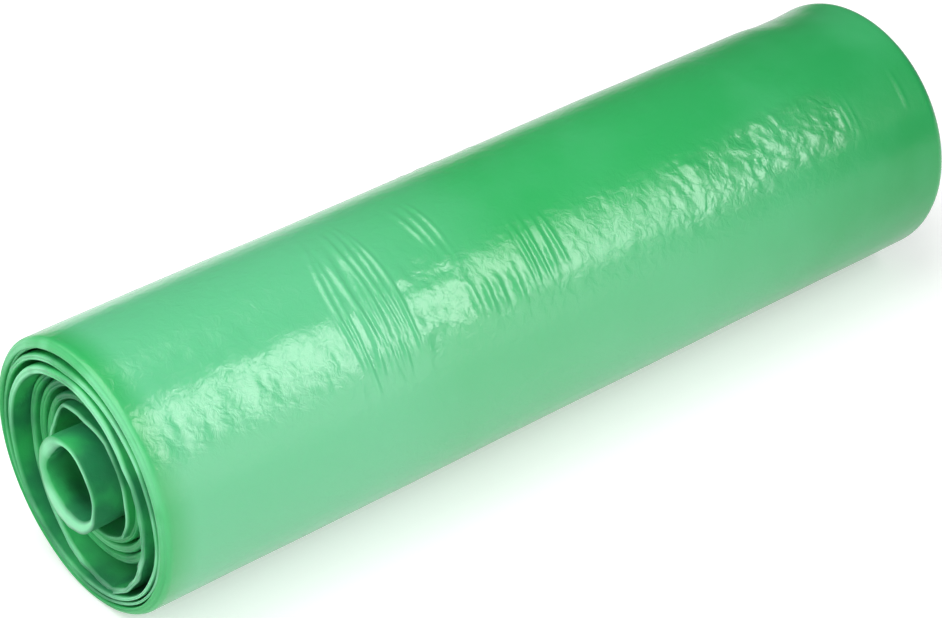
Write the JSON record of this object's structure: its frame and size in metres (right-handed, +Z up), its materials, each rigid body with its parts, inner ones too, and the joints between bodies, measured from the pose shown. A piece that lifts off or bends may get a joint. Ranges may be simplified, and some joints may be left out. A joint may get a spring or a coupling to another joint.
{
  "type": "bin bag roll",
  "caption": "Coreless roll of folded plastic bin bags on its side, its innermost turns slipped out of one end as a short tube, with open spiral turns round them.",
  "frame": {"origin": "under the middle of the roll, on the surface that it lies on", "axes": "+X along the roll from the end with the slipped-out tube to the other end, +Z up"},
  "size_m": [0.2332, 0.062, 0.0613],
  "materials": {
    "film": "soft satin sheen, green polyethylene film"
  },
  "bodies": {
    "root": {"bag_roll": "film"}
  },
  "joints": []
}
